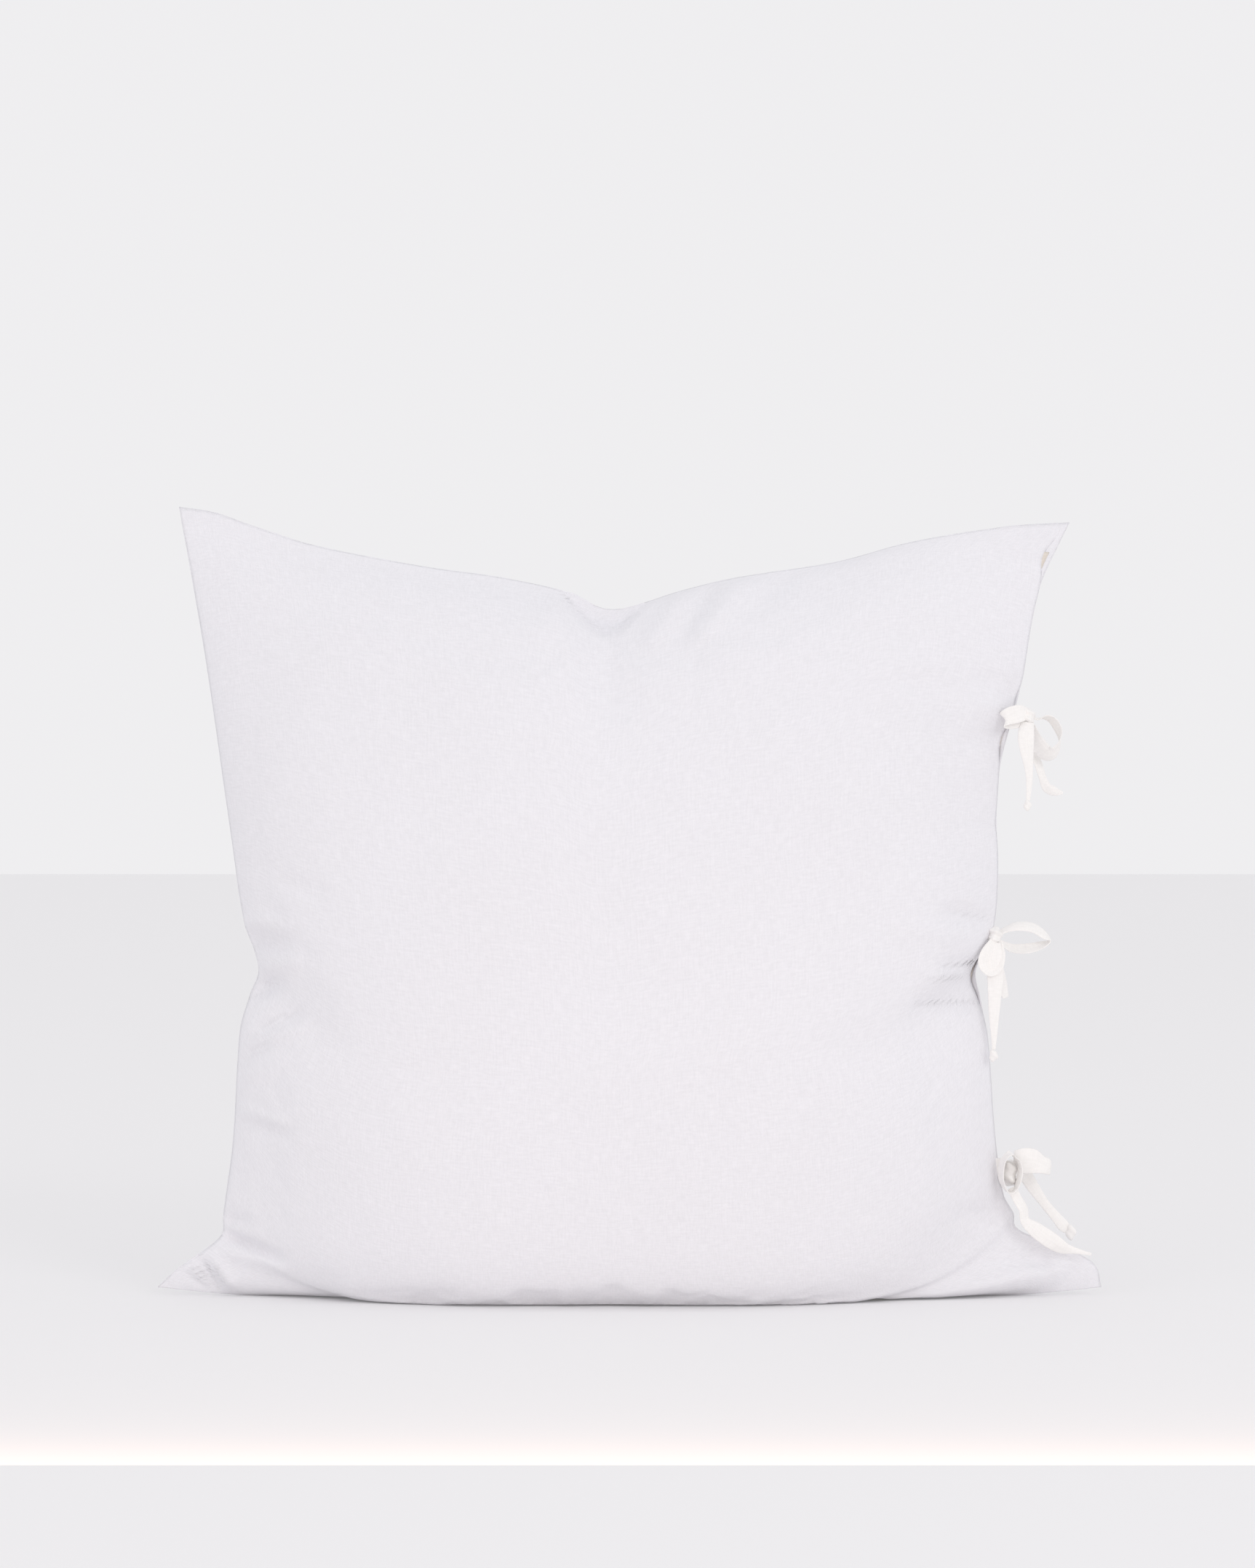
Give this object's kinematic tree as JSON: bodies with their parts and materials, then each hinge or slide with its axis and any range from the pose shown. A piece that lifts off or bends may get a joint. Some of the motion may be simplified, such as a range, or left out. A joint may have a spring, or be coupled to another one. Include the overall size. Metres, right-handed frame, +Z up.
{
  "type": "floor cushion",
  "caption": "Square linen floor cushion standing on its seam, its cover tied shut down one side with cloth bows over a stuffed pad.",
  "frame": {"origin": "middle of the bottom seam, on the floor", "axes": "+X towards the tied side, -Y the front, +Z up"},
  "size_m": [0.666, 0.194, 0.556],
  "materials": {
    "cover_linen": "plain-weave linen, washed, slubby, matt",
    "opening_hem": "plain-weave linen, doubled",
    "seam_thread_and_allowance": "turned-in linen edges with white sewing thread",
    "tie_tape": "soft folded cotton-linen tape, slightly warmer white",
    "pad_casing": "plain downproof cotton",
    "pad_filling": "loose polyester hollow fibre"
  },
  "bodies": {
    "cushion": {"back_opening_hem": "opening_hem", "back_panel": "cover_linen", "bottom_seam": "seam_thread_and_allowance", "front_opening_hem": "opening_hem", "front_panel": "cover_linen", "left_seam": "seam_thread_and_allowance", "lower_tie_back_strap": "tie_tape", "lower_tie_front_strap": "tie_tape", "lower_tie_knot": "tie_tape", "middle_tie_back_strap": "tie_tape", "middle_tie_front_strap": "tie_tape", "middle_tie_knot": "tie_tape", "pad_back_casing": "pad_casing", "pad_filling": "pad_filling", "pad_front_casing": "pad_casing", "top_seam": "seam_thread_and_allowance", "upper_tie_back_strap": "tie_tape", "upper_tie_front_strap": "tie_tape", "upper_tie_knot": "tie_tape"},
    "upper_front_loop": {"upper_tie_front_loop": "tie_tape"},
    "upper_back_loop": {"upper_tie_back_loop": "tie_tape"},
    "upper_front_tail": {"upper_tie_front_tail": "tie_tape"},
    "upper_back_tail": {"upper_tie_back_tail": "tie_tape"},
    "middle_front_loop": {"middle_tie_front_loop": "tie_tape"},
    "middle_back_loop": {"middle_tie_back_loop": "tie_tape"},
    "middle_front_tail": {"middle_tie_front_tail": "tie_tape"},
    "middle_back_tail": {"middle_tie_back_tail": "tie_tape"},
    "lower_front_loop": {"lower_tie_front_loop": "tie_tape"},
    "lower_back_loop": {"lower_tie_back_loop": "tie_tape"},
    "lower_front_tail": {"lower_tie_front_tail": "tie_tape"},
    "lower_back_tail": {"lower_tie_back_tail": "tie_tape"}
  },
  "joints": [
    {"name": "upper_front_loop_swing", "type": "hinge", "parent": "cushion", "child": "upper_front_loop", "pos_m": [0.28042, 0, 0.408], "axis": [0, -1, 0], "range_deg": [-4, 45]},
    {"name": "upper_back_loop_swing", "type": "hinge", "parent": "cushion", "child": "upper_back_loop", "pos_m": [0.28042, 0, 0.408], "axis": [0, -1, 0], "range_deg": [-45, 40]},
    {"name": "upper_front_tail_swing", "type": "hinge", "parent": "cushion", "child": "upper_front_tail", "pos_m": [0.28042, 0, 0.408], "axis": [0, -1, 0], "range_deg": [-4, 80]},
    {"name": "upper_back_tail_swing", "type": "hinge", "parent": "cushion", "child": "upper_back_tail", "pos_m": [0.28042, 0, 0.408], "axis": [0, -1, 0], "range_deg": [-28, 50]},
    {"name": "middle_front_loop_swing", "type": "hinge", "parent": "cushion", "child": "middle_front_loop", "pos_m": [0.25733, 0, 0.254], "axis": [0, -1, 0], "range_deg": [-6, 45]},
    {"name": "middle_back_loop_swing", "type": "hinge", "parent": "cushion", "child": "middle_back_loop", "pos_m": [0.25733, 0, 0.254], "axis": [0, -1, 0], "range_deg": [-60, 35]},
    {"name": "middle_front_tail_swing", "type": "hinge", "parent": "cushion", "child": "middle_front_tail", "pos_m": [0.25733, 0, 0.254], "axis": [0, -1, 0], "range_deg": [-3, 80]},
    {"name": "middle_back_tail_swing", "type": "hinge", "parent": "cushion", "child": "middle_back_tail", "pos_m": [0.25733, 0, 0.254], "axis": [0, -1, 0], "range_deg": [-10, 68]},
    {"name": "lower_front_loop_swing", "type": "hinge", "parent": "cushion", "child": "lower_front_loop", "pos_m": [0.26796, 0, 0.091], "axis": [0, -1, 0], "range_deg": [-2, 45]},
    {"name": "lower_back_loop_swing", "type": "hinge", "parent": "cushion", "child": "lower_back_loop", "pos_m": [0.26796, 0, 0.091], "axis": [0, -1, 0], "range_deg": [-50, 35]},
    {"name": "lower_front_tail_swing", "type": "hinge", "parent": "cushion", "child": "lower_front_tail", "pos_m": [0.26796, 0, 0.091], "axis": [0, -1, 0], "range_deg": [0, 70]},
    {"name": "lower_back_tail_swing", "type": "hinge", "parent": "cushion", "child": "lower_back_tail", "pos_m": [0.26796, 0, 0.091], "axis": [0, -1, 0], "range_deg": [0, 62]}
  ]
}
